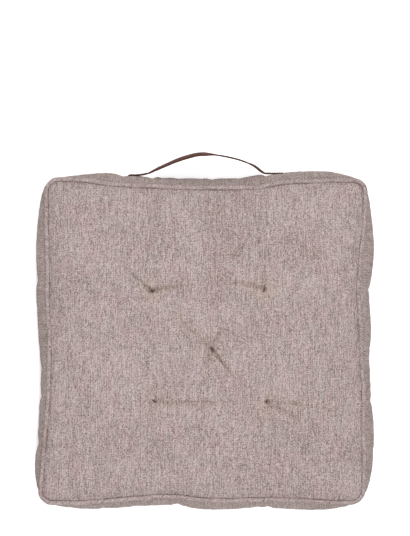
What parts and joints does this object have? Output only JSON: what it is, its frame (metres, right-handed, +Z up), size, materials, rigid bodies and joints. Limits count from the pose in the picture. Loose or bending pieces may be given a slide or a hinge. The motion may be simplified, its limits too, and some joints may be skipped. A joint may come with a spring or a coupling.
{
  "type": "floor cushion",
  "caption": "Square boxed floor cushion with thread-tufted faces, piped seams and a leather loop handle on one side that swings.",
  "frame": {"origin": "middle of the flat underside, on the surface that the cushion rests on", "axes": "+Z up through the thickness, +Y towards the side with the handle, +X to the right with the handle at the far side"},
  "size_m": [0.5, 0.5294, 0.105],
  "materials": {
    "cover_cloth": "matte slubby cotton-linen weave, heathered taupe",
    "piping_cloth": "the cover cloth, cut on the bias round a cord",
    "cotton_cord": "matte twisted cotton",
    "wadding": "matte loose fibre",
    "tufting_twine": "waxed twine, low sheen",
    "strap_leather": "dark brown vegetable-tanned leather, satin, burnished edges",
    "leather_thread": "waxed polyester thread, low sheen"
  },
  "bodies": {
    "cushion": {"top_panel": "cover_cloth", "bottom_panel": "cover_cloth", "boxing_front": "cover_cloth", "boxing_back": "cover_cloth", "boxing_left": "cover_cloth", "boxing_right": "cover_cloth", "filling": "wadding", "top_piping": "piping_cloth", "bottom_piping": "piping_cloth", "top_piping_cord": "cotton_cord", "bottom_piping_cord": "cotton_cord", "tuft_tie_1": "tufting_twine", "tuft_tie_2": "tufting_twine", "tuft_tie_3": "tufting_twine", "tuft_tie_4": "tufting_twine", "tuft_tie_5": "tufting_twine", "handle_end_left": "strap_leather", "handle_end_right": "strap_leather", "handle_stitching_left": "leather_thread", "handle_stitching_right": "leather_thread"},
    "handle": {"handle_loop": "strap_leather"}
  },
  "joints": [
    {"name": "handle_swing", "type": "hinge", "parent": "cushion", "child": "handle", "pos_m": [0.0024, 0.25888, 0.0525], "axis": [1, 0, 0], "range_deg": [-45, 45], "stiffness_Nm_per_rad": 0.02}
  ]
}
